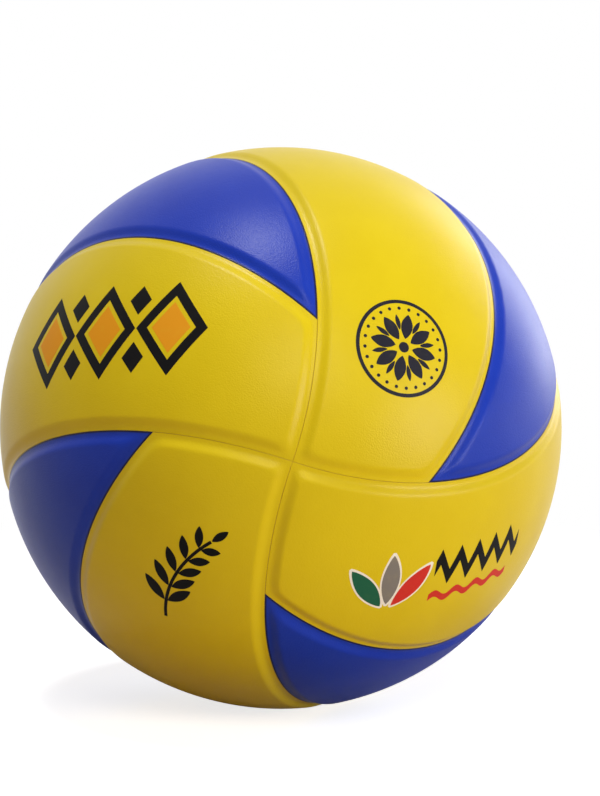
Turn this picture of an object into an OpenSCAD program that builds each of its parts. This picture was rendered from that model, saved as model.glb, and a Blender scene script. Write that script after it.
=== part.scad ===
// Volleyball: eight interlocking swirl panels over foam pads, on a rubber carcass, a nylon winding
// and an inflated bladder with its needle valve. Millimetres and degrees.
// The origin is the centre of the ball. The axis of the swirl runs along Y: the yellow panels
// meet at -Y and the blue ones at +Y.

/* [Ball] */
// Diameter over the padded panels, inflated
ball_d = 210; // [180:1:230]

/* [Cover] */
// Thickness of the cover leather
cover_t = 1.2; // [0.8:0.1:1.8]
// Thickness of the foam pads
foam_t = 1; // [0.6:0.1:1.6]
// Gap between two neighbouring panels
seam_gap = 0.1; // [0.05:0.05:0.3]
// Bevel along the edge of each panel
edge_bevel = 0.4; // [0.2:0.1:0.6]
// Width of a panel's flat hem, from the seam to the foot of the padded shoulder
hem_w = 1; // [0.8:0.1:2.5]
// Width of the shoulder that climbs from the hem to the padded surface
shoulder_w = 4.2; // [3:0.2:7]

/* [Swirl] */
// Angular radius of the arcs of a long seam, which runs from pole to pole
long_arc_angle = 60.8; // [56:0.2:66]
// Angular radius of the arcs of a short seam, which ends on a long one
short_arc_angle = 71.1; // [68:0.1:76]
// Lean of a short seam where it crosses the equator
short_lean_angle = 43.5; // [41:0.5:46]
// Turn of the whole swirl about its axis
swirl_angle = 15.3; // [-45:0.1:45]

/* [Layers] */
// Clearance left for the glue over and under each foam pad, and under the hems
glue_gap = 0.3; // [0.3:0.05:0.5]
// Thickness of the rubber carcass
carcass_t = 0.8; // [0.5:0.1:1.2]
// Thickness of the nylon winding
winding_t = 0.4; // [0.2:0.1:0.8]
// Wall of the bladder
bladder_t = 0.7; // [0.5:0.1:1.2]

/* [Valve] */
// Diameter of the needle channel
needle_d = 2.2; // [1.8:0.1:2.6]
// Length of the needle channel below its flared mouth
needle_len = 9; // [7:0.5:11]
// Diameter of the plug that carries the channel
plug_d = 4.4; // [4:0.1:5]
// Diameter of the plug's head and of the bulb that holds it in the seat
head_d = 5.6; // [5.4:0.1:6]
// Thickness of the plug's head
head_t = 1; // [0.8:0.1:1.4]
// Width of the slit that a needle opens at the end of the channel
slit_w = 0.15; // [0.1:0.05:0.2]
// Diameter of the seat's neck, which shows in the cover's hole
neck_d = 7.4; // [7:0.2:9]
// Depth of the neck's face below the padded surface
neck_sink = 0.4; // [0.2:0.1:0.8]
// Clearance round the neck in the layers that it passes through
neck_gap = 0.25; // [0.15:0.05:0.5]
// Diameter of the seat's flange, bonded to the inside of the bladder
flange_d = 28; // [22:1:36]
// Thickness of that flange
flange_t = 1; // [0.8:0.1:1.6]
// Diameter of the seat's stem inside the bladder
stem_d = 10; // [9:0.2:12]
// Length of the stem below the flange
stem_len = 8; // [6:0.5:12]
// Distance of the valve from the point where the blue panels meet
valve_colat_angle = 58; // [50:1:66]
// Turn of the valve about the swirl's axis, from the middle of its panel
valve_turn_angle = -20; // [-26:1:-14]

/* [Hidden] */
YELLOW = "#e0c431";
BLUE = "#2b3fa0";
FOAM = "#efece2";
RUBBER = "#23231f";
NYLON = "#c9c4b4";
BUTYL = "#3a3a3c";
COUNT = 4;                     // panels of each colour
VALVE_PANEL = 2;               // the blue panel that holds the valve
PANELS = [for (c = ["yellow", "blue"], k = [1 : COUNT]) str(c, "_", k)];
$fn = 96;

ball_r = ball_d / 2;
hem_depth = glue_gap + foam_t;         // of the hems below the padded surface
cover_r = ball_r - cover_t;            // underside of the padded cover
foam_r = cover_r - glue_gap;           // outside of the foam pads
carcass_r = foam_r - foam_t - glue_gap;
winding_r = carcass_r - carcass_t;
bladder_r = winding_r - winding_t;
flange_r = bladder_r - bladder_t;      // outside of the valve seat's flange
stem_top = flange_r - flange_t;
stem_foot = stem_top - stem_len;
neck_top = ball_r - neck_sink;
half_w = 90 / COUNT;                   // from the middle of a panel to its seams, on the equator

// The long seam leans just enough for its arc to end on the pole.
long_lean = asin(cos(long_arc_angle) / sin(long_arc_angle));
// Turn of its arc about the arc's own centre, from the equator to the pole
long_run = acos(-pow(cos(long_arc_angle) / sin(long_arc_angle), 2));

// A seam is its azimuth on the equator, its lean there and the angular radius of its two arcs.
// A panel's broad head lies round the north pole, between the head seam, the side seam and the
// far seam, and its tail narrows to the south pole between the side seam and the far seam.
head_seam = [-3 * half_w, long_lean, long_arc_angle];
side_seam = [-half_w, short_lean_angle, short_arc_angle];
far_seam = [half_w, long_lean, long_arc_angle];

// Rows of a panel's surface from the pole to the end of the head seam, and on to the tail's tip
head_rows = 4;
tail_rows = 22;
last_row = head_rows + tail_rows;
crown_columns = 6;                     // columns across the padded surface
lining_columns = 4;                    // and across its underside and the foam
shoulder_shares = [0, 0.5, 1];         // of the shoulder's width, at the columns on it
lining_shares = [0.2, 1];
narrow_share = 0.47;                   // of a narrow row, that the edge columns may take
pad_room_share = 1.3;                  // of the foam's inset, that a row's middle must be clear of

function turned_x(p, a) = [p.x, p.y * cos(a) - p.z * sin(a), p.y * sin(a) + p.z * cos(a)];
function turned_z(p, a) = [p.x * cos(a) - p.y * sin(a), p.x * sin(a) + p.y * cos(a), p.z];
function angle_between(p, q) = acos(max(-1, min(1, p * q)));
function arc_length(angle) = angle / 180 * PI * ball_r;
function to_panel(seam, p) = turned_z(turned_x(p, seam[1]), seam[0]);

// Direction of the centre of a seam's northern arc (side = 1) or southern arc (side = -1)
function arc_centre(seam, side) = to_panel(seam, [cos(seam[2]), side * sin(seam[2]), 0]);

// Direction of a seam's point where its arc has turned by run from the equator, south if negative
function seam_point(seam, run) =
    let (a = seam[2], bow = 1 - cos(run))
    to_panel(seam, [1 - pow(sin(a), 2) * bow, sign(run) * sin(a) * cos(a) * bow, sin(a) * sin(run)]);

// Turn of a seam's northern arc at one of its points
function run_at(seam, p) =
    let (c = arc_centre(seam, 1), q = seam_point(seam, 0), u = p - c * (p * c), v = q - c * (q * c))
    acos(u * v / norm(u) / norm(v));

// The northern crossing of the northern arcs of two seams
function meeting(s, t) =
    let (c = arc_centre(s, 1), e = arc_centre(t, 1), d = c * e, m = cos(s[2]), n = cos(t[2]),
         a = (m - n * d) / (1 - d * d), b = (n - m * d) / (1 - d * d))
    a * c + b * e + sqrt((1 - a * a - b * b - 2 * a * b * d) / (1 - d * d)) * cross(c, e);

head_end = meeting(head_seam, side_seam);
long_meet = run_at(head_seam, head_end);
short_meet = run_at(side_seam, head_end);

// Distance of a direction p from a seam, along the ball, positive on its left
function left_of(seam, p) =
    let (side = p * to_panel(seam, [0, 0, 1]) < 0 ? -1 : 1)
    arc_length(side * (seam[2] - angle_between(p, arc_centre(seam, side))));

// Distance of a direction inside the panel from the nearest of its seams
function clearance(p) = max(0, min(left_of(side_seam, p), -left_of(far_seam, p),
    p.z > 0 ? left_of(head_seam, p) : ball_r));

function long_turn(i) = i <= head_rows
    ? long_run + (long_meet - long_run) * i / head_rows
    : long_meet * (1 - 2 * (i - head_rows) / tail_rows);
function short_turn(i) = short_meet * (1 - 2 * (i - head_rows) / tail_rows);

// Ends of a row: its points on the two seams that it joins
function row_start(i) = i <= head_rows
    ? seam_point(head_seam, long_turn(i))
    : seam_point(side_seam, short_turn(i));
function row_end(i) = seam_point(far_seam, long_turn(i));

// The direction at a distance s along the row from p to q
function along_row(p, q, s) =
    let (w = angle_between(p, q), a = s / ball_r * 180 / PI)
    (sin(w - a) * p + sin(a) * q) / sin(w);

// How much longer a step from p towards q is than the distance from the seam that it gains
function slant(p, q) = hem_w / max(hem_w / 2, clearance(along_row(p, q, hem_w)));

// Distances from the seam of the columns along an edge, out to the top of the shoulder
pad_inset = hem_w + shoulder_w;
crown_edge = concat([seam_gap / 2, seam_gap / 2 + edge_bevel], [for (s = shoulder_shares) hem_w + s * shoulder_w]);
lining_edge = concat([seam_gap / 2], [for (s = lining_shares) hem_w + s * shoulder_w]);

// Directions of the columns of row i: both edges and the even columns between them
function row_columns(i, edge, columns) =
    let (p = row_start(i), q = row_end(i), w = arc_length(angle_between(p, q)), top = edge[len(edge) - 1],
         a = min(slant(p, q), narrow_share * w / top), b = min(slant(q, p), narrow_share * w / top),
         first = a * top, step = (w - (a + b) * top) / (columns + 1))
    [for (s = concat([for (e = edge) a * e], [for (k = [1 : columns]) first + k * step],
        [for (k = [len(edge) - 1 : -1 : 0]) w - b * edge[k]])) along_row(p, q, s)];

function swell(u) = let (v = max(0, min(1, u))) v * v * (3 - 2 * v);

// Depth of a hem or a shoulder below the crown at a distance d from the nearest seam
function dip(d) = hem_depth * (1 - swell((d - hem_w) / shoulder_w));
function crown_r(d) = ball_r - dip(d) - max(0, edge_bevel + seam_gap / 2 - d);
function lining_r(d) = cover_r - dip(d);

// The faces of a grid of rows with m points each, numbered from first
function grid_faces(rows, m, first) = [for (i = [0 : rows - 2], j = [0 : m - 2])
    let (a = first + i * m + j) each [[a, a + m, a + 1], [a + 1, a + m, a + m + 1]]];

// The same grid closed by a point at each end: the pole before it and the tail's tip after it
function leaf_faces(m, first) =
    let (rows = last_row - 1, tip = first + 1 + rows * m)
    concat(
        [for (j = [0 : m - 2]) [first, first + 1 + j, first + 2 + j]],
        grid_faces(rows, m, first + 1),
        [for (j = [0 : m - 2]) [tip - m + j, tip, tip - m + j + 1]]);

// The points round such a leaf: down its first column to the tip and back up its last
function leaf_rim(m, first) =
    let (rows = last_row - 1)
    concat([first], [for (i = [0 : rows - 1]) first + 1 + i * m], [first + 1 + rows * m],
        [for (i = [rows - 1 : -1 : 0]) first + i * m + m], [first]);

// The points round a plain grid
function grid_rim(rows, m, first) =
    concat([for (i = [0 : rows - 1]) first + i * m], [for (j = [1 : m - 1]) first + (rows - 1) * m + j],
        [for (i = [rows - 2 : -1 : 0]) first + i * m + m - 1], [for (j = [m - 2 : -1 : 0]) first + j]);

function wall_faces(top, foot) =
    [for (i = [0 : len(top) - 2]) each [[top[i], top[i + 1], foot[i]], [foot[i], top[i + 1], foot[i + 1]]]];

function reversed(faces) = [for (f = faces) [f[2], f[1], f[0]]];

tips = [row_start(0), row_end(last_row)];
crown_points = concat([tips[0] * crown_r(0)],
    [for (i = [1 : last_row - 1], v = row_columns(i, crown_edge, crown_columns)) v * crown_r(clearance(v))],
    [tips[1] * crown_r(0)]);
lining_points = concat([tips[0] * lining_r(0)],
    [for (i = [1 : last_row - 1], v = row_columns(i, lining_edge, lining_columns)) v * lining_r(clearance(v))],
    [tips[1] * lining_r(0)]);

// A panel of the cover: leather of even thickness that dips to a hem along its seams
module cover_sheet() {
    m = 2 * len(crown_edge) + crown_columns;
    k = 2 * len(lining_edge) + lining_columns;
    n = len(crown_points);
    polyhedron(concat(crown_points, lining_points), concat(
        reversed(leaf_faces(m, 0)), leaf_faces(k, n), wall_faces(leaf_rim(m, 0), leaf_rim(k, n))));
}

// The foam lies under the rows whose crown is wide enough to hold it.
function row_room(i) =
    let (p = row_start(i), q = row_end(i))
    clearance(along_row(p, q, arc_length(angle_between(p, q)) / 2));
pad_rows = [for (i = [1 : last_row - 1]) if (row_room(i) > pad_room_share * pad_inset) i];
pad_columns = [for (i = pad_rows, v = row_columns(i, [pad_inset], lining_columns)) v];

// A foam pad fills the space under a panel's crown and ends where the shoulder starts to fall.
module foam_sheet() {
    rows = len(pad_rows);
    m = lining_columns + 2;
    n = rows * m;
    polyhedron(concat(pad_columns * foam_r, pad_columns * (carcass_r + glue_gap)), concat(
        reversed(grid_faces(rows, m, 0)), grid_faces(rows, m, n),
        wall_faces(grid_rim(rows, m, 0), grid_rim(rows, m, n))));
}

module shell(outer, inner)
    difference() {
        sphere(r = outer);
        sphere(r = inner);
    }

// Panels are numbered round the axis; a blue one is a yellow one turned over.
module at_panel(i) {
    blue = i >= COUNT;
    turn = swirl_angle + (blue ? half_w : 3 * half_w) + 4 * half_w * (i % COUNT);
    rotate([90, 0, 0]) rotate([0, 0, turn]) rotate([blue ? 180 : 0, 0, 0]) children();
}

// A frame whose Z axis runs from the ball's centre out through the valve
module at_valve()
    at_panel(COUNT + VALVE_PANEL - 1) rotate([0, 0, valve_turn_angle]) rotate([0, valve_colat_angle, 0]) children();

// The hole that every layer leaves round the valve's neck
module neck_hole() at_valve() translate([0, 0, stem_foot]) cylinder(h = ball_d, d = neck_d + 2 * neck_gap);

function has_valve(i) = i == COUNT + VALVE_PANEL - 1;

module pierced(hole)
    difference() {
        children();
        if (hole) neck_hole();
    }

module cover_panel(i) color(i < COUNT ? YELLOW : BLUE) pierced(has_valve(i)) at_panel(i) cover_sheet();
module foam_pad(i) color(FOAM) pierced(has_valve(i)) at_panel(i) foam_sheet();
module rubber_carcass() color(RUBBER) pierced(true) shell(carcass_r, winding_r);
module nylon_winding() color(NYLON) pierced(true) shell(winding_r, bladder_r);
module bladder() color(BUTYL) pierced(true) shell(bladder_r, flange_r);

// The seat's outline to one side of its axis: neck, domed flange and tapered stem
module seat_outline() {
    translate([0, stem_top - flange_t]) square([neck_d / 2, neck_top - stem_top + flange_t]);
    intersection() {
        difference() {
            circle(r = flange_r);
            circle(r = stem_top);
        }
        square([flange_d / 2, ball_r]);
    }
    polygon([[0, stem_foot], [head_d / 2, stem_foot], [stem_d / 2, stem_top - stem_len / 4],
        [stem_d / 2, stem_top], [0, stem_top]]);
}

module valve_seat()
    color(RUBBER) at_valve() rotate_extrude() difference() {
        seat_outline();
        square([plug_d / 2, ball_r]);
        translate([0, neck_top - head_t]) square([head_d / 2, ball_r]);
    }

// A plug with a head at the face and a bulb below the stem, round the needle's channel
module valve_plug() {
    mouth = neck_top - head_t;             // foot of the channel's flare
    channel_foot = mouth - needle_len;
    bulb = (head_d - plug_d) / 2;
    color(BUTYL) at_valve() difference() {
        rotate_extrude() polygon([[0, stem_foot - 3 * bulb], [plug_d / 2, stem_foot - 2 * bulb],
            [head_d / 2, stem_foot - bulb], [head_d / 2, stem_foot], [plug_d / 2, stem_foot], [plug_d / 2, mouth],
            [head_d / 2, mouth], [head_d / 2, neck_top], [0, neck_top]]);
        translate([0, 0, channel_foot]) cylinder(h = ball_r, d = needle_d);
        translate([0, 0, mouth]) cylinder(h = 2 * head_t, d1 = needle_d, d2 = needle_d + 2 * head_t);
        translate([-slit_w / 2, -needle_d / 2, stem_foot - ball_r]) cube([slit_w, needle_d, ball_r + needle_d]);
    }
}

for (i = [0 : len(PANELS) - 1]) {
    cover_panel(i);
    foam_pad(i);
}
rubber_carcass();
nylon_winding();
bladder();
valve_seat();
valve_plug();
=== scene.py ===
"""An indoor volleyball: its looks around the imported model.

Everything is in the model's frame, in metres: the ball's centre is the origin, +Z is up, and the
point where the yellow panels meet is on -Y, towards the camera. Names that end in _MM hold
millimetres, and the geometry of the cover is worked out in them.
"""

import math

import bmesh
import bpy
import numpy as np
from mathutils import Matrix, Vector


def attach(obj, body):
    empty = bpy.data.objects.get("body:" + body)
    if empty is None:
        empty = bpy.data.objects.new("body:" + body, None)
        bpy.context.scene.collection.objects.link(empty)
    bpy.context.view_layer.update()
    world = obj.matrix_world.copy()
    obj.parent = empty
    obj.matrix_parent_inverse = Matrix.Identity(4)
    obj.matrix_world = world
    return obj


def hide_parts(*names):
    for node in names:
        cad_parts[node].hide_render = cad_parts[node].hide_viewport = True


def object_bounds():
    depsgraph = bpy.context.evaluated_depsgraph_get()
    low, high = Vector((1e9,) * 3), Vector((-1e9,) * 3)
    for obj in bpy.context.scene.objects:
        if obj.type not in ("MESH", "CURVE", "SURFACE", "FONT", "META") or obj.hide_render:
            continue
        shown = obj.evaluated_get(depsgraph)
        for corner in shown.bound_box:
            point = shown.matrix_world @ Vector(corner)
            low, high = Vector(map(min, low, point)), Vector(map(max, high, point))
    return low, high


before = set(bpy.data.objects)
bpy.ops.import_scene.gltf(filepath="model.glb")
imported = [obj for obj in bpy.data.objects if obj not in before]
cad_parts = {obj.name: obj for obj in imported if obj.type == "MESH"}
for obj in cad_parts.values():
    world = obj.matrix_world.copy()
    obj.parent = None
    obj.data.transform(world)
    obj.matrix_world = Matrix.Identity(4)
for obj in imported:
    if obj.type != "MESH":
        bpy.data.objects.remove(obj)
cad_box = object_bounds()

MM = 0.001
COLOURS = ("yellow", "blue")
PANELS_PER_COLOUR = 4

# The cover. Its seams are finer than the model's and its edges rounder, and its shoulders are wider
# and softer at their ends, over a narrower hem.
BALL_R_MM = 105.0
COVER_T_MM = 1.2
HEM_DEPTH_MM = 1.3
SEAM_GAP_MM = 0.03
EDGE_ROUND_MM = 0.16
HEM_W_MM = 0.6
SHOULDER_W_MM = 5.0

# The seams, in angles at the ball's centre: half a panel's width at the equator, each arc's radius
# and lean, how far a long one turns to reach the pole, and the turn of the whole cover
HALF_WIDTH = math.radians(90 / PANELS_PER_COLOUR)
LONG_ARC = math.radians(60.8)
SHORT_ARC = math.radians(71.1)
SHORT_LEAN = math.radians(43.5)
LONG_LEAN = math.asin(1 / math.tan(LONG_ARC))
LONG_RUN = math.acos(-1 / math.tan(LONG_ARC) ** 2)
SWIRL_ANGLE = math.radians(15.3)

# The valve, in the frame of its own panel
VALVE_PANEL = ("blue", 2)
VALVE_COLATITUDE = math.radians(58)
VALVE_TURN = math.radians(-20)
VALVE_HOLE_R_MM = 3.95
VALVE_DIMPLE_R_MM = 6.5
VALVE_DIMPLE_MM = 0.3


def about_x(angle):
    """The matrix that turns a point about X."""
    c, s = math.cos(angle), math.sin(angle)
    return np.array([[1, 0, 0], [0, c, -s], [0, s, c]])


def about_y(angle):
    """The matrix that turns a point about Y."""
    c, s = math.cos(angle), math.sin(angle)
    return np.array([[c, 0, s], [0, 1, 0], [-s, 0, c]])


def about_z(angle):
    """The matrix that turns a point about Z."""
    c, s = math.cos(angle), math.sin(angle)
    return np.array([[c, -s, 0], [s, c, 0], [0, 0, 1]])


def unit(vectors):
    """Vectors of length 1 in the same directions."""
    return vectors / np.linalg.norm(vectors, axis=-1, keepdims=True)


def angle_between(p, q):
    """Angles between directions, from their dot products."""
    return np.arccos(np.clip((p * q).sum(-1), -1, 1))


def swell(u):
    """A smooth step from 0 to 1: 6 u^5 - 15 u^4 + 10 u^3 between the ends, level beyond them."""
    v = np.clip(u, 0, 1)
    return v**3 * (v * (6 * v - 15) + 10)


def softer_min(a, b, width):
    """The smaller of two lengths, its crease rounded off by a parabola within the given width."""
    overlap = np.clip(width - np.abs(a - b), 0, None)
    return np.minimum(a, b) - overlap**2 / (4 * width)


class Seam:
    """A seam in its panel's frame: two equal arcs of circles, one north and one south of the equator."""

    def __init__(self, azimuth, lean, arc):
        self.turn = about_z(azimuth) @ about_x(lean)
        self.arc = arc

    def centre(self, side):
        """The direction of an arc's centre: side is 1 for the northern arc and -1 for the southern."""
        return self.turn @ np.array([math.cos(self.arc), side * math.sin(self.arc), 0])

    def points(self, run):
        """Directions on the seam, where its arc has turned by run about its centre from the equator."""
        bow = 1 - np.cos(run)
        sine, cosine = math.sin(self.arc), math.cos(self.arc)
        local = np.stack([1 - sine**2 * bow, np.sign(run) * sine * cosine * bow, sine * np.sin(run)], -1)
        return local @ self.turn.T

    def left_of(self, p):
        """How far directions lie to the seam's left, along the ball: the arc's radius less the
        angle from its centre, times the ball's radius."""
        north = (p @ self.turn[:, 2]) >= 0
        off_north = self.arc - np.arccos(np.clip(p @ self.centre(1), -1, 1))
        off_south = np.arccos(np.clip(p @ self.centre(-1), -1, 1)) - self.arc
        return BALL_R_MM * np.where(north, off_north, off_south)

    def run_at(self, p):
        """How far the northern arc has turned at one of its points."""
        c = self.centre(1)
        q = self.points(np.zeros(1))[0]
        u, v = p - c * (p @ c), q - c * (q @ c)
        return math.acos(u @ v / np.linalg.norm(u) / np.linalg.norm(v))


def northern_meeting(s, t):
    """The northern point where the northern arcs of two seams cross: a sum of the arcs' centres and
    their cross product, at the right distance from both."""
    c, e = s.centre(1), t.centre(1)
    d, m, n = c @ e, math.cos(s.arc), math.cos(t.arc)
    a, b = (m - n * d) / (1 - d * d), (n - m * d) / (1 - d * d)
    rest = 1 - a * a - b * b - 2 * a * b * d
    return a * c + b * e + math.sqrt(rest / (1 - d * d)) * np.cross(c, e)


HEAD_SEAM = Seam(-3 * HALF_WIDTH, LONG_LEAN, LONG_ARC)
SIDE_SEAM = Seam(-HALF_WIDTH, SHORT_LEAN, SHORT_ARC)
FAR_SEAM = Seam(HALF_WIDTH, LONG_LEAN, LONG_ARC)
HEAD_END = northern_meeting(HEAD_SEAM, SIDE_SEAM)
LONG_MEET = HEAD_SEAM.run_at(HEAD_END)
SHORT_MEET = SIDE_SEAM.run_at(HEAD_END)

MITRE_MM = 3.2  # width over which the shoulders of two seams run into each other


def seam_distances(p):
    """For directions in a panel: the distance from the nearest seam, and the same with its creases
    softened, which the padding follows. The head seam counts north of the equator alone."""
    side, far = SIDE_SEAM.left_of(p), -FAR_SEAM.left_of(p)
    head = np.where(p[..., 2] > 0, HEAD_SEAM.left_of(p), BALL_R_MM)
    edge = np.minimum(np.minimum(side, far), head)
    room = softer_min(softer_min(side, far, MITRE_MM), head, MITRE_MM)
    return np.clip(edge, 0, None), np.clip(room, 0, None)


def dip(room):
    """How far the cover lies below the padded surface: the hem's depth at the seam, and a smooth
    step up over the shoulder."""
    return HEM_DEPTH_MM * (1 - swell((room - HEM_W_MM) / SHOULDER_W_MM))


def crown_radius(edge, room):
    """The radius of the cover's outside: the ball's, less the dip and the quarter round of the edge."""
    across = np.clip((edge - SEAM_GAP_MM / 2) / EDGE_ROUND_MM, 0, 1)
    return BALL_R_MM - dip(room) - EDGE_ROUND_MM * (1 - np.sqrt(1 - (1 - across) ** 2))


def panel_matrix(colour, number):
    """The turn that puts a panel in its place on the ball. A blue panel is a yellow one turned over."""
    blue = colour == "blue"
    turn = SWIRL_ANGLE + HALF_WIDTH * (1 if blue else 3) + 4 * HALF_WIDTH * (number - 1)
    return about_x(math.pi / 2) @ about_z(turn) @ about_x(math.pi if blue else 0)


def valve_matrix():
    """The frame of the valve, its Z axis out of the ball."""
    return panel_matrix(*VALVE_PANEL) @ about_z(VALVE_TURN) @ about_y(VALVE_COLATITUDE)


# Meshes


def closed_shell(top, bottom, wraps=False):
    """Points and quads of a closed sheet between two grids of the same shape. Where it wraps, the
    last row joins the first one, and there are walls along the first and last columns alone."""
    rows, columns = top.shape[:2]
    index = np.arange(rows * columns).reshape(rows, columns)
    if wraps:
        index = np.concatenate([index, index[:1]])
    under = index + rows * columns

    def quads(a, b, c, d):
        return np.stack([a.ravel(), b.ravel(), c.ravel(), d.ravel()], -1)

    def painted_crease_shade(line, below):
        return quads(line[:-1], line[1:], below[1:], below[:-1])

    faces = [
        quads(index[:-1, :-1], index[:-1, 1:], index[1:, 1:], index[1:, :-1]),
        quads(under[:-1, :-1], under[1:, :-1], under[1:, 1:], under[:-1, 1:]),
        painted_crease_shade(index[:, 0], under[:, 0]),
        painted_crease_shade(index[::-1, -1], under[::-1, -1]),
    ]
    if not wraps:
        faces += [painted_crease_shade(index[-1], under[-1]), painted_crease_shade(index[0, ::-1], under[0, ::-1])]
    return np.concatenate([top.reshape(-1, 3), bottom.reshape(-1, 3)]), np.concatenate(faces)


MERGE_MM = 0.0005
SHARP_ANGLE = math.radians(50)


def shade(mesh):
    """Shades a mesh smooth, apart from its sharp edges."""
    mesh.shade_smooth()
    mesh.set_sharp_from_angle(angle=SHARP_ANGLE)


def new_piece(name, parts, material):
    """A mesh object of one or more closed shells in millimetres, with its doubles merged and its
    faces turned outwards, riding on the ball."""
    points, faces, count = [], [], 0
    for part_points, part_faces in parts:
        points.append(part_points)
        faces.append(part_faces + count)
        count += len(part_points)
    mesh = bpy.data.meshes.new(name)
    mesh.from_pydata((np.concatenate(points) * MM).tolist(), [], np.concatenate(faces).tolist())
    work = bmesh.new()
    work.from_mesh(mesh)
    bmesh.ops.remove_doubles(work, verts=work.verts, dist=MERGE_MM * MM)
    bmesh.ops.recalc_face_normals(work, faces=work.faces)
    work.to_mesh(mesh)
    work.free()
    return finished(name, mesh, material)


def finished(name, mesh, material):
    """Links a mesh as a piece with its material."""
    shade(mesh)
    piece = bpy.data.objects.new(name, mesh)
    bpy.context.scene.collection.objects.link(piece)
    mesh.materials.append(material)
    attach(piece, "root")
    return piece


# Rows along a panel, and columns across its crown
HEAD_ROWS = 44
TAIL_ROWS = 200
CROWN_COLUMNS = 24
VALVE_CROWN_COLUMNS = 60

# Distances from the seam of the columns along a panel's edges: over the rounded edge, the hem and
# the shoulder. Where the panel is narrow, each edge's are squeezed into this share of its width.
NARROW_SHARE = 0.47
EDGE_STEPS_MM = SEAM_GAP_MM / 2 + EDGE_ROUND_MM * np.array([0, 3 / 32, 1 / 4, 1 / 2, 3 / 4, 1])
HEM_STEPS_MM = HEM_W_MM * np.array([7 / 12, 1])
SHOULDER_STEPS_MM = HEM_W_MM + SHOULDER_W_MM * np.linspace(0.06, 1.06, 18)
EDGE_COLUMNS_MM = np.concatenate([EDGE_STEPS_MM, HEM_STEPS_MM, SHOULDER_STEPS_MM])


def along(p, q, s):
    """Directions at the distances s along the great circles from p to q."""
    w = angle_between(p, q)[..., None, None]
    a = (s / BALL_R_MM)[..., None]
    return (np.sin(w - a) * p[..., None, :] + np.sin(a) * q[..., None, :]) / np.sin(w)


def panel_directions(crown_columns):
    """A grid of directions over a panel. A row joins two seams; its columns keep their distance from
    each seam along the edges and are even between them. The first and last rows are the tips."""
    head = np.linspace(0, 1, HEAD_ROWS + 1)[1:]
    tail = np.linspace(0, 1, TAIL_ROWS + 1)[1:-1]
    far_run = np.concatenate([LONG_RUN + (LONG_MEET - LONG_RUN) * head, LONG_MEET * (1 - 2 * tail)])
    beside_head = HEAD_SEAM.points(far_run[:HEAD_ROWS])
    beside_tail = SIDE_SEAM.points(SHORT_MEET * (1 - 2 * tail))
    p = np.concatenate([beside_head, beside_tail])
    q = FAR_SEAM.points(far_run)
    length = BALL_R_MM * angle_between(p, q)
    hem = np.full((len(p), 1), HEM_W_MM)
    reach = EDGE_COLUMNS_MM[-1]
    most = NARROW_SHARE * length / reach
    # A row crosses its seams at a slant, so its columns are spaced out by as much
    slants = []
    for start, end in ((p, q), (q, p)):
        gained = seam_distances(along(start, end, hem)[:, 0])[0]
        slants.append(np.minimum(HEM_W_MM / np.maximum(HEM_W_MM / 2, gained), most))
    near, far = slants
    shares = np.linspace(0, 1, crown_columns + 2)[1:-1]
    near_edge = near[:, None] * EDGE_COLUMNS_MM
    inner = (length - (near + far) * reach)[:, None] * shares + (near * reach)[:, None]
    far_edge = length[:, None] - far[:, None] * EDGE_COLUMNS_MM[::-1]
    grid = along(p, q, np.concatenate([near_edge, inner, far_edge], 1))
    pole = np.broadcast_to([0.0, 0.0, 1.0], grid[:1].shape)
    tip = np.broadcast_to(FAR_SEAM.points(np.array([-LONG_MEET]))[0], grid[:1].shape)
    return np.concatenate([pole, grid, tip])


def valve_dimple(p, matrix):
    """How far the cover is drawn in round the valve: a bell of the distance from its axis."""
    axis = matrix.T @ valve_matrix()[:, 2]
    off = BALL_R_MM * angle_between(p, np.broadcast_to(axis, p.shape))
    return VALVE_DIMPLE_MM * np.exp(-((off / VALVE_DIMPLE_R_MM) ** 2))


# The rings of the tool that cuts the valve's hole: their heights from the ball's radius, and how much
# wider than the hole they are
CUTTER_HEIGHTS_MM = np.array([-6.0, -0.55, -0.3, -0.12, 1.0])
CUTTER_FLARES_MM = np.array([0, 0, 0.06, 0.25, 1.6])
CUTTER_SIDES = 96


def valve_hole_cutter():
    """A round tool with the hole's radius, flared at its top to round the rim off."""
    heights = BALL_R_MM + CUTTER_HEIGHTS_MM
    radii = VALVE_HOLE_R_MM + CUTTER_FLARES_MM
    turns = np.linspace(0, 2 * math.pi, CUTTER_SIDES + 1)[:-1]
    across, up = np.outer(radii, np.cos(turns)), np.outer(radii, np.sin(turns))
    rings = np.stack([across, up, np.repeat(heights[:, None], CUTTER_SIDES, 1)], -1)
    mesh = bpy.data.meshes.new("valve_hole_cutter")
    index = np.arange(rings[..., 0].size).reshape(rings.shape[:2])
    index = np.concatenate([index, index[:, :1]], 1)
    faces = np.stack([index[:-1, :-1], index[:-1, 1:], index[1:, 1:], index[1:, :-1]], -1).reshape(-1, 4)
    ends = [index[0, :-1][::-1].tolist(), index[-1, :-1].tolist()]
    mesh.from_pydata((rings.reshape(-1, 3) @ valve_matrix().T * MM).tolist(), [], faces.tolist() + ends)
    return bpy.data.objects.new("valve_hole_cutter", mesh)


def cut_valve_hole(piece):
    """Takes the valve's hole out of a piece and keeps the result as its mesh."""
    cutter = valve_hole_cutter()
    bpy.context.scene.collection.objects.link(cutter)
    modifier = piece.modifiers.new("valve_hole", "BOOLEAN")
    modifier.object = cutter
    modifier.solver = "EXACT"
    graph = bpy.context.evaluated_depsgraph_get()
    cut = bpy.data.meshes.new_from_object(piece.evaluated_get(graph))
    piece.modifiers.clear()
    bpy.data.objects.remove(cutter)
    cut.name = piece.name
    shade(cut)
    piece.data = cut


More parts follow.
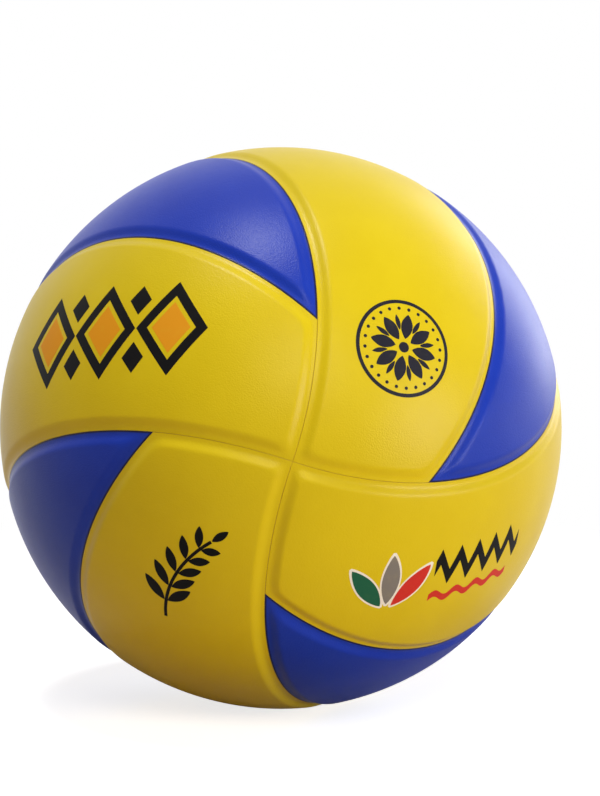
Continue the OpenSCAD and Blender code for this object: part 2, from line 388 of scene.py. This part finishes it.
def mark_seam_distance(piece, matrix):
    """Stores each point's distance from the seam and its share of the hem's depth, for the leather."""
    mesh = piece.data
    points = np.zeros(len(mesh.vertices) * 3, np.float32)
    mesh.vertices.foreach_get("co", points)
    edge, room = seam_distances(unit(points.reshape(-1, 3).astype(float)) @ matrix)
    for name, values in (("seam_mm", edge), ("hem", dip(room) / HEM_DEPTH_MM)):
        mesh.attributes.new(name, "FLOAT", "POINT").data.foreach_set("value", values.astype(np.float32))


def cover_panel(colour, number, material):
    """A panel of the cover: a sheet of leather whose outside and lining follow the same dip."""
    matrix = panel_matrix(colour, number)
    has_valve = (colour, number) == VALVE_PANEL
    p = panel_directions(VALVE_CROWN_COLUMNS if has_valve else CROWN_COLUMNS)
    edge, room = seam_distances(p)
    sunk = valve_dimple(p, matrix) if has_valve else 0
    crown = p * (crown_radius(edge, room) - sunk)[..., None]
    lining = p * (BALL_R_MM - COVER_T_MM - dip(room) - sunk)[..., None]
    parts = [closed_shell(crown @ matrix.T, lining @ matrix.T)]
    piece = new_piece(f"cover_{colour}_{number}", parts, material)
    if has_valve:
        cut_valve_hole(piece)
    mark_seam_distance(piece, matrix)
    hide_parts(f"panel_{colour}_{number}")
    return piece


# Node helpers


def add(tree, kind, settings=None, **inputs):
    """A node with its settings and its inputs, each a value or the socket that feeds it. Underscores
    in an input's name stand for spaces, and inputs may be given by number as in_0, in_1."""
    node = tree.nodes.new(kind)
    for key, value in (settings or {}).items():
        setattr(node, key, value)
    for key, value in inputs.items():
        socket = node.inputs[int(key[3:]) if key.startswith("in_") else key.replace("_", " ")]
        if isinstance(value, bpy.types.NodeSocket):
            tree.links.new(value, socket)
        else:
            socket.default_value = value
    return node


def maths(tree, operation, a, b=0.0, c=0.0):
    """The result of a Math node."""
    return add(tree, "ShaderNodeMath", {"operation": operation}, in_0=a, in_1=b, in_2=c).outputs[0]


def stepped(tree, value, low, high, at_low=0.0, at_high=1.0):
    """A smooth step between two values of the input."""
    node = add(tree, "ShaderNodeMapRange", {"interpolation_type": "SMOOTHSTEP"}, in_0=value,
               in_1=low, in_2=high, in_3=at_low, in_4=at_high)
    return node.outputs[0]


def blended(tree, factor, a, b):
    """Two colours mixed by a factor."""
    node = add(tree, "ShaderNodeMix", {"data_type": "RGBA"}, in_0=factor, in_6=a, in_7=b)
    return node.outputs[2]


def mixed(tree, factor, a, b):
    """Two shaders mixed by a factor."""
    return add(tree, "ShaderNodeMixShader", in_0=factor, in_1=a, in_2=b).outputs[0]


def linear(r, g, b):
    """A screen colour of 0 to 255 as the linear RGBA that the shaders take, by the sRGB curve."""
    values = np.array([r, g, b]) / 255
    low, high = values / 12.92, ((values + 0.055) / 1.055) ** 2.4
    return (*np.where(values <= 0.04045, low, high).tolist(), 1.0)


def new_group(name, inputs, outputs):
    """An empty node group, its input and output nodes; sockets are given as (name, type, default)."""
    group = bpy.data.node_groups.new(name, "ShaderNodeTree")
    for socket_name, kind, default in inputs:
        socket = group.interface.new_socket(socket_name, in_out="INPUT", socket_type=kind)
        if default is not None:
            socket.default_value = default
    for socket_name, kind in outputs:
        group.interface.new_socket(socket_name, in_out="OUTPUT", socket_type=kind)
    return group, group.nodes.new("NodeGroupInput"), group.nodes.new("NodeGroupOutput")


def leather_grain_group():
    """Fine pebbled grain: smooth cells with a finer noise over them. Height is for bump, Pits is a
    mask of the creases between the cells."""
    group, source, result = new_group(
        "leather_grain",
        [("Vector", "NodeSocketVector", None), ("Cells per m", "NodeSocketFloat", 1100.0)],
        [("Height", "NodeSocketFloat"), ("Pits", "NodeSocketFloat")],
    )
    cells = add(group, "ShaderNodeTexVoronoi", {"feature": "SMOOTH_F1"}, Vector=source.outputs["Vector"],
                Scale=source.outputs["Cells per m"], Smoothness=0.6)
    finer = maths(group, "MULTIPLY", source.outputs["Cells per m"], 2.3)
    noise = add(group, "ShaderNodeTexNoise", Vector=source.outputs["Vector"], Scale=finer, Detail=2.0)
    domes = maths(group, "MULTIPLY", cells.outputs["Distance"], -1.0)
    height = maths(group, "MULTIPLY_ADD", noise.outputs["Fac"], 0.5, domes)
    group.links.new(height, result.inputs["Height"])
    group.links.new(stepped(group, cells.outputs["Distance"], 0.35, 0.75), result.inputs["Pits"])
    return group


def mottle_group():
    """Slow unevenness in a colour and a surface, from a few octaves of noise about 0."""
    group, source, result = new_group(
        "mottle",
        [("Vector", "NodeSocketVector", None), ("Patches per m", "NodeSocketFloat", 40.0)],
        [("Level", "NodeSocketFloat")],
    )
    noise = add(group, "ShaderNodeTexNoise", Vector=source.outputs["Vector"],
                Scale=source.outputs["Patches per m"], Detail=3.0, Roughness=0.55)
    group.links.new(maths(group, "SUBTRACT", noise.outputs["Fac"], 0.5), result.inputs["Level"])
    return group


GRAIN = leather_grain_group()
MOTTLE = mottle_group()


def new_material(name):
    """A material's empty tree with its object coordinates, a Principled shader and the output."""
    material = bpy.data.materials.new(name)
    material.use_nodes = True
    tree = material.node_tree
    tree.nodes.clear()
    place = tree.nodes.new("ShaderNodeTexCoord").outputs["Object"]
    shader = tree.nodes.new("ShaderNodeBsdfPrincipled")
    output = tree.nodes.new("ShaderNodeOutputMaterial")
    tree.links.new(shader.outputs[0], output.inputs["Surface"])
    return material, tree, place, shader


def grouped(tree, group, **inputs):
    """A node that holds a group."""
    return add(tree, "ShaderNodeGroup", {"node_tree": group}, **inputs)


def varied(tree, middle, level, spread):
    """A middle value, plus a level that is scaled by its spread."""
    return maths(tree, "MULTIPLY_ADD", level, spread, middle)


def surfaced(tree, shader, colour, roughness, height, depth_mm, strength):
    """Feeds a shader its colour, its roughness, and the bump of a height that is depth_mm deep."""
    bump = add(tree, "ShaderNodeBump", Strength=strength, Distance=depth_mm * MM, Height=height)
    tree.links.new(colour, shader.inputs["Base Color"])
    tree.links.new(roughness, shader.inputs["Roughness"])
    tree.links.new(bump.outputs[0], shader.inputs["Normal"])


# The leather's finish, and that of the ink, which takes the leather's grain
GRAIN_CELLS_PER_M = 1900.0
GRAIN_DEPTH_MM = 0.05
PIT_SHADE = 0.12
# How far the painted shade of the seams goes towards the seam colour
SEAM_SHADE = 0.9
LEATHER_ROUGHNESS = 0.35
LEATHER_SPECULAR = 0.18
INK_ROUGHNESS = 0.42
INK_SPECULAR = 0.08


def leather(name, base, deep, seam_shade_colour, seam_shade_reach):
    """Grained synthetic leather. Base and deep are the two ends of its mottling. Within the seam's reach
    in millimetres the colour falls to the seam's colour: painted shade of the seam's groove, over the
    joint's own darker line. The pressed hem is a little smoother."""
    material, tree, place, shader = new_material(name)
    grain = grouped(tree, GRAIN, Vector=place, Cells_per_m=GRAIN_CELLS_PER_M)
    slow = grouped(tree, MOTTLE, Vector=place, Patches_per_m=45.0).outputs["Level"]
    seam = add(tree, "ShaderNodeAttribute", {"attribute_name": "seam_mm"}).outputs["Fac"]
    hem = add(tree, "ShaderNodeAttribute", {"attribute_name": "hem"}).outputs["Fac"]
    # Painted shade: the colour darkens to the seam colour near a seam, where the groove lies in shadow
    painted_seam_shade = stepped(tree, seam, 0.4 * seam_shade_reach, seam_shade_reach, 1.0, 0.0)
    colour = blended(tree, stepped(tree, slow, -0.25, 0.25), base, deep)
    colour = blended(tree, maths(tree, "MULTIPLY", grain.outputs["Pits"], PIT_SHADE), colour, deep)
    colour = blended(tree, maths(tree, "MULTIPLY", painted_seam_shade, SEAM_SHADE), colour, seam_shade_colour)
    rough = varied(tree, LEATHER_ROUGHNESS, slow, spread=0.06)
    rough = varied(tree, rough, hem, spread=-0.05)
    height = varied(tree, grain.outputs["Height"], slow, spread=0.5)
    surfaced(tree, shader, colour, rough, height, GRAIN_DEPTH_MM, strength=1.0)
    shader.inputs["Specular IOR Level"].default_value = LEATHER_SPECULAR
    return material


def printed_ink(name, base, worn):
    """Matt ink over the leather: the grain shows through it, and it has thinned a little in places."""
    material, tree, place, shader = new_material(name)
    grain = grouped(tree, GRAIN, Vector=place, Cells_per_m=GRAIN_CELLS_PER_M)
    slow = grouped(tree, MOTTLE, Vector=place, Patches_per_m=220.0).outputs["Level"]
    colour = blended(tree, stepped(tree, slow, 0.0, 0.3, 0.0, 0.35), base, worn)
    rough = varied(tree, INK_ROUGHNESS, slow, spread=0.12)
    surfaced(tree, shader, colour, rough, grain.outputs["Height"], GRAIN_DEPTH_MM, strength=0.3)
    shader.inputs["Specular IOR Level"].default_value = INK_SPECULAR
    return material


def rubber(name, base, bloom, roughness):
    """Moulded rubber with a faint pale bloom in slow patches and a fine orange-peel skin."""
    material, tree, place, shader = new_material(name)
    slow = grouped(tree, MOTTLE, Vector=place, Patches_per_m=90.0).outputs["Level"]
    fine = grouped(tree, GRAIN, Vector=place, Cells_per_m=1800.0)
    colour = blended(tree, stepped(tree, slow, -0.05, 0.3, 0.0, 0.6), base, bloom)
    rough = varied(tree, roughness, slow, spread=0.2)
    surfaced(tree, shader, colour, rough, fine.outputs["Height"], depth_mm=0.04, strength=0.25)
    return material


def foam(name):
    """Closed-cell foam: pale cells, painted darker in the creases between them as shade."""
    material, tree, place, shader = new_material(name)
    cells = grouped(tree, GRAIN, Vector=place, Cells_per_m=2200.0)
    slow = grouped(tree, MOTTLE, Vector=place, Patches_per_m=60.0).outputs["Level"]
    # Painted shade in the creases between the cells
    painted_crease_shade = maths(tree, "MULTIPLY", cells.outputs["Pits"], 0.5)
    colour = blended(tree, painted_crease_shade, linear(240, 236, 224), linear(205, 198, 180))
    rough = varied(tree, 0.85, slow, spread=0.2)
    surfaced(tree, shader, colour, rough, cells.outputs["Height"], depth_mm=0.15, strength=0.8)
    return material


def wound_thread(name):
    """Nylon thread wound every way round: the highest of three sets of fine crossing bands shows, and
    the lower bands are painted darker, as shade between the threads.
    """
    material, tree, place, shader = new_material(name)
    slow = grouped(tree, MOTTLE, Vector=place, Patches_per_m=25.0).outputs["Level"]
    layers = []
    for turn in ((0.4, 0.2, 0.0), (1.5, 0.9, 0.5), (2.4, 0.3, 1.2)):
        turned = add(tree, "ShaderNodeMapping", Vector=place, Rotation=turn).outputs[0]
        bands = add(tree, "ShaderNodeTexWave", {"wave_profile": "SIN"}, Vector=turned, Scale=180.0,
                    Distortion=1.5, Detail_Scale=4.0)
        layers.append(bands.outputs["Fac"])
    top = maths(tree, "MAXIMUM", maths(tree, "MAXIMUM", layers[0], layers[1]), layers[2])
    # Painted shade: the lower bands are coloured darker than the top ones
    colour = blended(tree, stepped(tree, top, 0.4, 1.0), linear(150, 140, 118), linear(224, 217, 198))
    rough = varied(tree, 0.6, slow, spread=0.2)
    surfaced(tree, shader, colour, rough, top, depth_mm=0.3, strength=0.7)
    return material


# The printed motifs. Their drawings are in millimetres on paper that is wrapped on the ball. Each
# shape is a grid of points, and whether its last row joins the first.


def rectangle_steps(rows, columns):
    """Two grids of parameters from -1 to 1."""
    return np.meshgrid(np.linspace(-1, 1, rows), np.linspace(-1, 1, columns), indexing="ij")


def lozenge(x, y, half_width, half_height):
    """A filled lozenge: a square grid turned by an eighth and scaled."""
    u, v = rectangle_steps(13, 13)
    return np.stack([x + (u - v) / 2 * half_width, y + (u + v) / 2 * half_height], -1), False


def lozenge_frame(x, y, half_width, half_height, inner):
    """A lozenge's outline: its perimeter scaled from the inner share out to 1."""
    t = np.linspace(0, 4, 49)[:-1, None]
    s = np.linspace(inner, 1, 4)[None, :]
    run_x = 1 - np.abs((t % 4) - 2)
    run_y = 1 - np.abs(((t + 1) % 4) - 2)
    return np.stack([x + run_x * s * half_width, y + run_y * s * half_height], -1), True


def disc(x, y, radius, steps=9):
    """A filled disc: a square grid drawn out to a circle, with no point at its middle."""
    u, v = rectangle_steps(steps, steps)
    across, upright = u * np.sqrt(1 - v * v / 2), v * np.sqrt(1 - u * u / 2)
    return np.stack([x + radius * across, y + radius * upright], -1), False


def ring(x, y, inner, outer, steps=96):
    """A flat ring: circles from the inner radius to the outer."""
    t = np.linspace(0, 2 * math.pi, steps + 1)[:-1, None]
    r = np.linspace(inner, outer, 3)[None, :]
    return np.stack([x + r * np.cos(t), y + r * np.sin(t)], -1), True


def petal(x, y, angle, inner, outer, width, blunt=0.06):
    """A petal: a spine from the inner to the outer radius, its width a half wave, blunt at both ends."""
    t = np.linspace(0, 1, 17)[:, None]
    v = np.linspace(-1, 1, 5)[None, :]
    along_spine = inner + (outer - inner) * t + 0 * v
    across = v * (blunt + (width / 2 - blunt) * np.sin(math.pi * t) ** 0.8)
    c, s = math.cos(angle), math.sin(angle)
    return np.stack([x + along_spine * c - across * s, y + along_spine * s + across * c], -1), False


def ribbon(path, width):
    """A band of even width along a path."""
    ahead = np.gradient(path, axis=0)
    normal = unit(np.stack([-ahead[:, 1], ahead[:, 0]], -1))
    v = np.linspace(-0.5, 0.5, 3)[None, :, None]
    return path[:, None, :] + normal[:, None, :] * v * width, False


def arc_path(x, y, radius, start, end, steps=33):
    """Points on an arc of a circle, angles in degrees."""
    t = np.radians(np.linspace(start, end, steps))
    return np.stack([x + radius * np.cos(t), y + radius * np.sin(t)], -1)


def swinging_band(x, y, length, height, waves, thickness, pointed):
    """A level band that swings up and down about y: a triangle wave where it is pointed, or else a
    sine. Its thickness is measured upright."""
    t = np.linspace(0, 1, 16 * waves + 1)[:, None]
    v = np.linspace(-0.5, 0.5, 3)[None, :]
    swing = np.sin(2 * math.pi * waves * t)
    if pointed:
        swing = np.arcsin(swing) * 2 / math.pi
    return np.stack([x + (t + 0 * v) * length, y + swing * height / 2 + v * thickness], -1), False


def petals_round(count, start, inner, outer, width):
    """The same petal repeated round the middle of a print, from the angle start."""
    return [petal(0, 0, start + 2 * math.pi * k / count, inner, outer, width) for k in range(count)]


# How high a layer of ink stands above the leather, and how deep its slab reaches into it
INK_MM = 0.04
INK_ROOT_MM = 0.2


def wrapped_on_ball(drawing, centre, up, height_mm, panel):
    """Lays a drawing on the cover: each point keeps its distance and bearing from the print's centre,
    and stands the ink's height above the panel there."""
    z = unit(np.array(centre, float))
    y = unit(np.array(up, float) - z * (np.array(up, float) @ z))
    x = np.cross(y, z)
    reach = np.linalg.norm(drawing, axis=-1, keepdims=True)
    bearing = drawing / np.maximum(reach, 1e-9)
    angle = reach / BALL_R_MM
    p = np.cos(angle) * z + np.sin(angle) * (bearing[..., :1] * x + bearing[..., 1:] * y)
    edge, room = seam_distances(p @ panel_matrix(*panel))
    return p * (crown_radius(edge, room) + height_mm)[..., None]


def print_motif(name, drawings, place, layer, material):
    """One colour of a print: thin closed slabs that stand in the leather's surface."""
    centre, up, panel = place
    parts = []
    for drawing, wraps in drawings:
        top = wrapped_on_ball(drawing, centre, up, INK_MM * layer, panel)
        bottom = wrapped_on_ball(drawing, centre, up, -INK_ROOT_MM, panel)
        parts.append(closed_shell(top, bottom, wraps))
    return new_piece(f"print_{name}", parts, material)


def direction(azimuth, elevation):
    """A direction from the ball's centre: azimuth from -Y towards +X, elevation above the level."""
    a, e = math.radians(azimuth), math.radians(elevation)
    return np.array([math.sin(a) * math.cos(e), -math.cos(a) * math.cos(e), math.sin(e)])


def tilted_up(centre, tilt):
    """Upwards along the ball at a direction, turned clockwise as seen from outside."""
    z = unit(centre)
    up = unit(np.array([0, 0, 1.0]) - z * z[2])
    right = np.cross(up, z)
    t = math.radians(tilt)
    return math.cos(t) * up + math.sin(t) * right


def harlequin():
    """Three framed lozenges in a row, with small ones in the gaps above and below, and the colour
    inside the frames."""
    large, small, pitch, small_rise = (13.6, 17.5), (4.4, 5.6), 27.6, 10.6
    frame_share, fill_share = 0.68, 0.54
    black = [lozenge_frame(pitch * k, 0, *large, frame_share) for k in (-1, 0, 1)]
    black += [lozenge(pitch * i / 2, small_rise * j, *small) for i in (-1, 1) for j in (-1, 1)]
    inner = [lozenge(pitch * k, 0, *(fill_share * size for size in large)) for k in (-1, 0, 1)]
    return black, inner


def rosette():
    """A flower of eight petals and eight narrow ones between them, inside a ring of beads and a rim."""
    petals, beads, bead_circle, bead_r = 8, 24, 14.4, 0.62
    drawings = [ring(0, 0, inner=16.3, outer=17.6), disc(0, 0, 1.9)]
    drawings += petals_round(petals, 0, inner=3.2, outer=12.4, width=4.4)
    drawings += petals_round(petals, math.pi / petals, inner=6.4, outer=12.0, width=1.7)
    for x, y in arc_path(0, 0, bead_circle, 0, 360, beads + 1)[:-1]:
        drawings.append(disc(x, y, bead_r, 5))
    return drawings


def sprig():
    """A curved stem with leaves along both sides that grow shorter towards its tip. Its arc's ends
    and the places of the leaves are in degrees about the arc's centre."""
    centre, radius, foot, tip, leaf_turns = (29.4, -27.0), 44.0, 168, 115, (158.5, 122.5)
    stem_width, leaf_length, leaf_width, leaf_spread = 1.2, 12.6, 4.1, 46
    drawings = [ribbon(arc_path(*centre, radius, foot, tip), stem_width)]
    for k, turn in enumerate(np.linspace(*leaf_turns, 5)):
        x, y = arc_path(*centre, radius, turn, turn, 1)[0]
        for side in (-1, 1):
            heading = math.radians(turn - 90 + side * leaf_spread)
            length = leaf_length - 0.9 * k - 0.6 * (1 - side)
            drawings.append(petal(x, y, heading, inner=0.9, outer=length, width=leaf_width - 0.25 * k))
    x, y = arc_path(*centre, radius, tip, tip, 1)[0]
    return drawings + [petal(x, y, math.radians(tip - 90), inner=0.4, outer=7.4, width=2.9)]


def fan_and_bands():
    """Three leaves with a pale outline that spread from one point, beside a zigzag and a wavy band."""
    foot = (-25.0, -11.0)
    spread = [math.radians(angle) for angle in (130, 90, 50)]
    outlines = [petal(*foot, angle, inner=2.4, outer=24.6, width=7.9, blunt=0.5) for angle in spread]
    leaves = [petal(*foot, angle, inner=3.3, outer=23.5, width=6.6) for angle in spread]
    zigzag = swinging_band(-7.5, 4.6, length=43.0, height=8.8, waves=5, thickness=6.2, pointed=True)
    wave = swinging_band(-8.0, -7.6, length=39.0, height=2.6, waves=4, thickness=2.9, pointed=False)
    return outlines, leaves, zigzag, wave


# Materials

# The last colour of each leather is the painted shade of its seams' groove, over the joint's own darker
# line
YELLOW_LEATHER = leather(
    "yellow_leather", linear(220, 196, 20), linear(216, 191, 16), linear(196, 164, 26), seam_shade_reach=0.2
)
BLUE_LEATHER = leather(
    "blue_leather", linear(22, 56, 177), linear(18, 51, 170), linear(12, 9, 20), seam_shade_reach=0.9
)
INK_BLACK = printed_ink("ink_black", linear(10, 9, 10), linear(28, 25, 22))
INK_ORANGE = printed_ink("ink_orange", linear(230, 156, 34), linear(228, 170, 44))
INK_SLATE = printed_ink("ink_slate", linear(36, 36, 46), linear(66, 62, 54))
INK_GREEN = printed_ink("ink_green", linear(34, 96, 70), linear(60, 106, 68))
INK_RED = printed_ink("ink_red", linear(206, 52, 44), linear(208, 84, 50))
INK_GREY = printed_ink("ink_grey", linear(128, 124, 118), linear(150, 142, 112))
INK_WHITE = printed_ink("ink_white", linear(240, 236, 224), linear(236, 226, 190))

FOAM = foam("foam")
NODE_MATERIALS = {
    "rubber_carcass": rubber("carcass_rubber", linear(44, 44, 42), linear(82, 80, 74), 0.62),
    "nylon_winding": wound_thread("nylon_thread"),
    "bladder": rubber("butyl", linear(58, 58, 60), linear(92, 90, 88), 0.5),
    "valve_seat": rubber("valve_rubber", linear(34, 34, 34), linear(62, 60, 58), 0.55),
    "valve_plug": rubber("plug_rubber", linear(46, 46, 48), linear(74, 72, 70), 0.48),
}

# Cover

for colour, leather_material in zip(COLOURS, (YELLOW_LEATHER, BLUE_LEATHER)):
    for number in range(1, PANELS_PER_COLOUR + 1):
        cover_panel(colour, number, leather_material)
        NODE_MATERIALS[f"foam_pad_{colour}_{number}"] = FOAM

for node_name, node_material in NODE_MATERIALS.items():
    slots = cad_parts[node_name].data.materials
    slots.clear()
    slots.append(node_material)

# Prints: the place of each one's middle on the ball, and how far it is turned clockwise


def print_place(azimuth, elevation, tilt, number):
    """Where a print lies, on the yellow panel of that number."""
    centre = direction(azimuth, elevation)
    return centre, tilted_up(centre, tilt), ("yellow", number)


HARLEQUIN_PLACE = print_place(-42.0, 23.6, -9, 2)
ROSETTE_PLACE = print_place(23.3, 21.0, 20, 1)
SPRIG_PLACE = print_place(-21.4, -23.2, -4, 3)
FAN_PLACE = print_place(36.4, -24.8, -7.5, 4)

frames, frame_fill = harlequin()
print_motif("harlequin_frames", frames, HARLEQUIN_PLACE, 1, INK_BLACK)
print_motif("harlequin_fill", frame_fill, HARLEQUIN_PLACE, 1, INK_ORANGE)
print_motif("rosette", rosette(), ROSETTE_PLACE, 1, INK_SLATE)
print_motif("sprig", sprig(), SPRIG_PLACE, 1, INK_BLACK)
outlines, leaves, zigzag, wave = fan_and_bands()
print_motif("fan_outline", outlines, FAN_PLACE, 1, INK_WHITE)
for leaf, leaf_name, leaf_ink in zip(leaves, ("left", "middle", "right"), (INK_GREEN, INK_GREY, INK_RED)):
    print_motif(f"fan_leaf_{leaf_name}", [leaf], FAN_PLACE, 2, leaf_ink)
print_motif("zigzag_band", [zigzag], FAN_PLACE, 1, INK_BLACK)
print_motif("wavy_band", [wave], FAN_PLACE, 1, INK_RED)

# Camera: the photograph's view, from a little left of the yellow pole and above it

IMAGE_PX = (600, 796)
CAMERA_DISTANCE = 1.05
CAMERA_AZIMUTH = -2.2
CAMERA_ELEVATION = 6.3
BALL_CENTRE_PX = (280.8, 428.0)
LENS_MM = 126.4
SENSOR_MM = 36

camera_data = bpy.data.cameras.new("camera")
camera_data.sensor_width = SENSOR_MM
camera_data.lens = LENS_MM
camera_data.shift_x = (IMAGE_PX[0] / 2 - BALL_CENTRE_PX[0]) / max(IMAGE_PX)
camera_data.shift_y = (BALL_CENTRE_PX[1] - IMAGE_PX[1] / 2) / max(IMAGE_PX)
camera = bpy.data.objects.new("camera", camera_data)
camera.location = Vector(direction(CAMERA_AZIMUTH, CAMERA_ELEVATION) * CAMERA_DISTANCE)
camera.rotation_euler = (-camera.location).to_track_quat("-Z", "Y").to_euler()
bpy.context.scene.collection.objects.link(camera)
bpy.context.scene.camera = camera

# Floor and light: the floor's size and the distances between which it fades are in metres

WHITE = (1.0, 1.0, 1.0, 1.0)
FLOOR_HALF_WIDTH = 6.0
FADE_START = 0.16
FADE_END = 0.5
FLOOR_PAINT = (0.82, 0.82, 0.82, 1.0)
FLOOR_BOUNCE = (0.62, 0.46, 0.33, 1.0)
FLOOR_GLOW = 0.76


def seen_as_background(tree, path):
    """1 for the rays that show the background as plain white: the camera's and the reflections'."""
    seen = maths(tree, "MAXIMUM", path.outputs["Is Camera Ray"], path.outputs["Is Glossy Ray"])
    return maths(tree, "MAXIMUM", seen, path.outputs["Is Transmission Ray"])


def floor_material():
    """The floor's paint. The camera and the reflections see it lit, with the ball's shadow near the
    ball, and fade to plain white further out; the camera sees it with a glow besides, so that it is
    almost white there too. Other rays meet the warm grey that it throws back at the ball."""
    material = bpy.data.materials.new("pale_floor")
    material.use_nodes = True
    tree = material.node_tree
    tree.nodes.clear()
    place = tree.nodes.new("ShaderNodeTexCoord").outputs["Object"]
    away = add(tree, "ShaderNodeVectorMath", {"operation": "LENGTH"}, in_0=place).outputs["Value"]
    far = stepped(tree, away, FADE_START, FADE_END)
    path = tree.nodes.new("ShaderNodeLightPath")
    lit = add(tree, "ShaderNodeBsdfDiffuse", Color=FLOOR_PAINT).outputs[0]
    bounce = add(tree, "ShaderNodeBsdfDiffuse", Color=FLOOR_BOUNCE).outputs[0]
    glow = add(tree, "ShaderNodeEmission", Strength=FLOOR_GLOW).outputs[0]
    white = add(tree, "ShaderNodeEmission", Strength=1.0).outputs[0]
    glowing = add(tree, "ShaderNodeAddShader", in_0=lit, in_1=glow).outputs[0]
    near = mixed(tree, path.outputs["Is Camera Ray"], lit, glowing)
    seen = mixed(tree, far, near, white)
    both = mixed(tree, seen_as_background(tree, path), bounce, seen)
    output = tree.nodes.new("ShaderNodeOutputMaterial")
    tree.links.new(both, output.inputs["Surface"])
    return material


def pale_floor():
    """A wide square floor under the ball."""
    half, level = FLOOR_HALF_WIDTH, cad_box[0][2]
    corners = [(-half, -half, level), (half, -half, level), (half, half, level), (-half, half, level)]
    mesh = bpy.data.meshes.new("floor")
    mesh.from_pydata(corners, [], [(0, 1, 2, 3)])
    mesh.materials.append(floor_material())
    floor = bpy.data.objects.new("floor", mesh)
    bpy.context.scene.collection.objects.link(floor)


def soft_lamp(name, azimuth, elevation, distance, size, power):
    """A square area lamp that looks at the ball."""
    data = bpy.data.lights.new(name, "AREA")
    data.size = size
    data.energy = power
    lamp = bpy.data.objects.new(name, data)
    lamp.location = Vector(direction(azimuth, elevation) * distance)
    lamp.rotation_euler = (-lamp.location).to_track_quat("-Z", "Y").to_euler()
    bpy.context.scene.collection.objects.link(lamp)


def white_surround(strength, tint):
    """Even light from all round, a little warm, which the camera and reflections see as plain white."""
    world = bpy.data.worlds.new("surround")
    bpy.context.scene.world = world
    world.use_nodes = True
    tree = world.node_tree
    tree.nodes.clear()
    path = tree.nodes.new("ShaderNodeLightPath")
    seen = seen_as_background(tree, path)
    colour = blended(tree, seen, tint, WHITE)
    level = maths(tree, "MAXIMUM", seen, strength)
    glow = add(tree, "ShaderNodeBackground", Color=colour, Strength=level).outputs[0]
    output = tree.nodes.new("ShaderNodeOutputWorld")
    tree.links.new(glow, output.inputs["Surface"])


# Name, azimuth, elevation, distance and size in metres, and power in watts
LAMPS = (
    ("key", 56, 2, 1.6, 0.7, 16.5),
    ("front", 8, 32, 1.6, 0.7, 7.5),
    ("top", -46, 80, 1.6, 0.36, 15),
    ("left", -70, -15, 1.6, 0.8, 2.2),
    ("right", 100, -8, 1.6, 0.7, 4.5),
    ("right_rim", 137, 17, 1.6, 0.95, 8.5),
)
SURROUND = 0.1
SURROUND_TINT = (1.0, 0.74, 0.58, 1.0)

pale_floor()
white_surround(SURROUND, SURROUND_TINT)
for lamp in LAMPS:
    soft_lamp(*lamp)

view = bpy.context.scene.view_settings
view.view_transform = "Standard"
